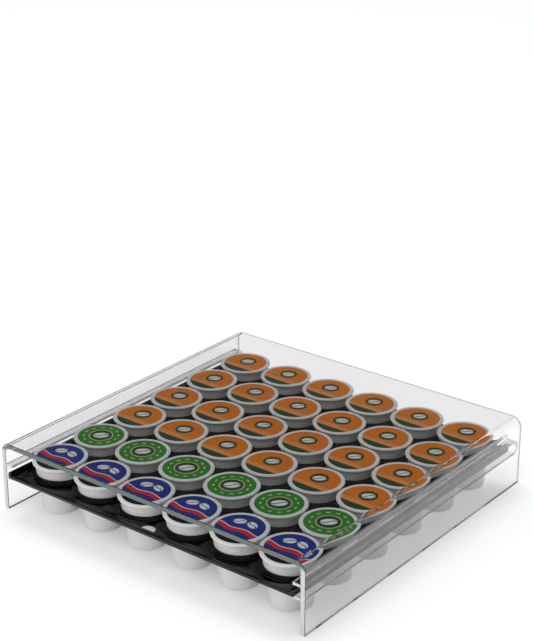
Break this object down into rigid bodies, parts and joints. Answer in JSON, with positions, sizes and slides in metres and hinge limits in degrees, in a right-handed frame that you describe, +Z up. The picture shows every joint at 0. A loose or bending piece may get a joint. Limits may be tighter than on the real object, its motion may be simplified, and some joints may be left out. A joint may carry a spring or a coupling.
{
  "type": "coffee pod drawer",
  "caption": "Low countertop drawer: a clear sheet cover open at both ends, with a black tray of hanging coffee pods that slides out to the front on clear runner strips.",
  "frame": {"origin": "bottom centre of the closed drawer, on the surface it stands on, midway between the tray's front edge and the cover's back edge", "axes": "+X to the right across the drawer's width, +Y from the front to the back, +Z up"},
  "size_m": [0.346, 0.3384, 0.0675],
  "materials": {
    "clear_sheet": "polished clear sheet, 5 mm",
    "clear_strip": "polished clear strip",
    "black_plastic": "gloss",
    "pod_plastic": "satin white"
  },
  "bodies": {
    "cover": {"cover": "clear_sheet", "left_runner": "clear_strip", "right_runner": "clear_strip"},
    "tray": {"tray": "black_plastic", "pod_row1_column1": "pod_plastic", "pod_row1_column2": "pod_plastic", "pod_row1_column3": "pod_plastic", "pod_row1_column4": "pod_plastic", "pod_row1_column5": "pod_plastic", "pod_row1_column6": "pod_plastic", "pod_row2_column1": "pod_plastic", "pod_row2_column2": "pod_plastic", "pod_row2_column3": "pod_plastic", "pod_row2_column4": "pod_plastic", "pod_row2_column5": "pod_plastic", "pod_row2_column6": "pod_plastic", "pod_row3_column1": "pod_plastic", "pod_row3_column2": "pod_plastic", "pod_row3_column3": "pod_plastic", "pod_row3_column4": "pod_plastic", "pod_row3_column5": "pod_plastic", "pod_row3_column6": "pod_plastic", "pod_row4_column1": "pod_plastic", "pod_row4_column2": "pod_plastic", "pod_row4_column3": "pod_plastic", "pod_row4_column4": "pod_plastic", "pod_row4_column5": "pod_plastic", "pod_row4_column6": "pod_plastic", "pod_row5_column1": "pod_plastic", "pod_row5_column2": "pod_plastic", "pod_row5_column3": "pod_plastic", "pod_row5_column4": "pod_plastic", "pod_row5_column5": "pod_plastic", "pod_row5_column6": "pod_plastic", "pod_row6_column1": "pod_plastic", "pod_row6_column2": "pod_plastic", "pod_row6_column3": "pod_plastic", "pod_row6_column4": "pod_plastic", "pod_row6_column5": "pod_plastic", "pod_row6_column6": "pod_plastic"}
  },
  "joints": [
    {"name": "tray_slide", "type": "slide", "parent": "cover", "child": "tray", "axis": [0, -1, 0], "range_m": [0, 0.27]}
  ]
}
